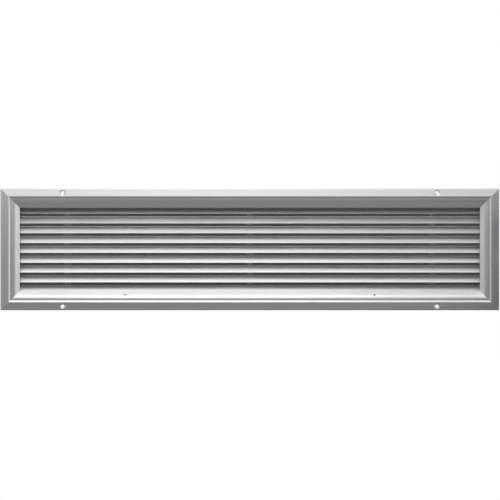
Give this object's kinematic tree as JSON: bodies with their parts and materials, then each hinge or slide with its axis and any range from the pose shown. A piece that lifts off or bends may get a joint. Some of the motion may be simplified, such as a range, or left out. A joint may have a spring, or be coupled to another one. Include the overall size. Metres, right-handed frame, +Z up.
{
  "type": "rectangular air vent",
  "caption": "Wide rectangular wall grille: a mitred aluminium frame with countersunk fixing holes around fixed, sight-proof chevron blades.",
  "frame": {"origin": "centre of the face, on the wall plane that the back of the flange meets", "axes": "+X along the width, +Z up, +Y into the wall and duct; the face looks toward -Y"},
  "size_m": [0.873, 0.049, 0.213],
  "materials": {
    "frame": "satin natural anodised extrusion",
    "blade": "satin natural anodised extrusion",
    "carrier": "mill-finish sheet",
    "support_bar": "mill-finish flat bar",
    "cleat": "zinc-plated pressing",
    "rivet": "bright set rivet"
  },
  "bodies": {
    "root": {"frame_top": "frame", "frame_bottom": "frame", "frame_left": "frame", "frame_right": "frame", "blade_1": "blade", "blade_2": "blade", "blade_3": "blade", "blade_4": "blade", "blade_5": "blade", "blade_6": "blade", "blade_7": "blade", "blade_8": "blade", "blade_9": "blade", "carrier_left": "carrier", "carrier_right": "carrier", "support_bar_left": "support_bar", "support_bar_centre": "support_bar", "support_bar_right": "support_bar", "cleat_top_left": "cleat", "cleat_top_right": "cleat", "cleat_bottom_left": "cleat", "cleat_bottom_right": "cleat", "rivets_left": "rivet", "rivets_right": "rivet"}
  },
  "joints": []
}
